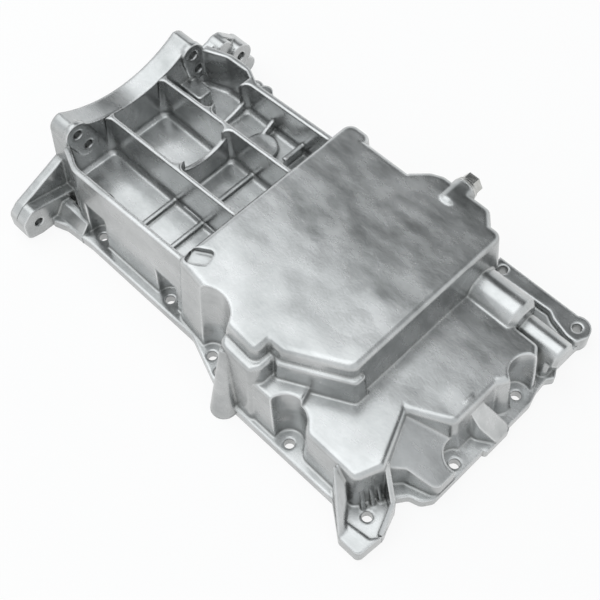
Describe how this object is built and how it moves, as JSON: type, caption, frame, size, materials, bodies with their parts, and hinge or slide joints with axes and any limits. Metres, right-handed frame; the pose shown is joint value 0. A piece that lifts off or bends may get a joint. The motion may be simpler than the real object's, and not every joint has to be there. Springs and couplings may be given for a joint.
{
  "type": "engine oil pan",
  "caption": "Cast aluminium engine oil pan with a ribbed rear, deep sump, bell housing flange and a screw-in drain plug.",
  "frame": {"origin": "middle of the pan's footprint, on the gasket face", "axes": "+X from the bell housing end to the front end, +Z away from the engine block, +Y towards the drain plug"},
  "size_m": [0.452, 0.296, 0.104],
  "materials": {
    "cast_aluminium": "as cast, satin",
    "plug_steel": "zinc plated",
    "washer_aluminium": "soft, satin"
  },
  "bodies": {
    "pan": {"pan_casting": "cast_aluminium"},
    "washer": {"drain_plug_washer": "washer_aluminium"},
    "plug": {"drain_plug": "plug_steel"}
  },
  "joints": [
    {"name": "washer_travel", "type": "slide", "parent": "pan", "child": "washer", "axis": [0, 1, 0], "range_m": [0, 0.015]},
    {"name": "plug_turn", "type": "hinge", "parent": "washer", "child": "plug", "pos_m": [0.076, 0.121, 0.091], "axis": [0, 1, 0], "range_deg": [0, 3600]}
  ],
  "couplings": [
    {"joint": "plug_turn", "follows": "washer_travel", "rad_per_m": 4188.8}
  ]
}
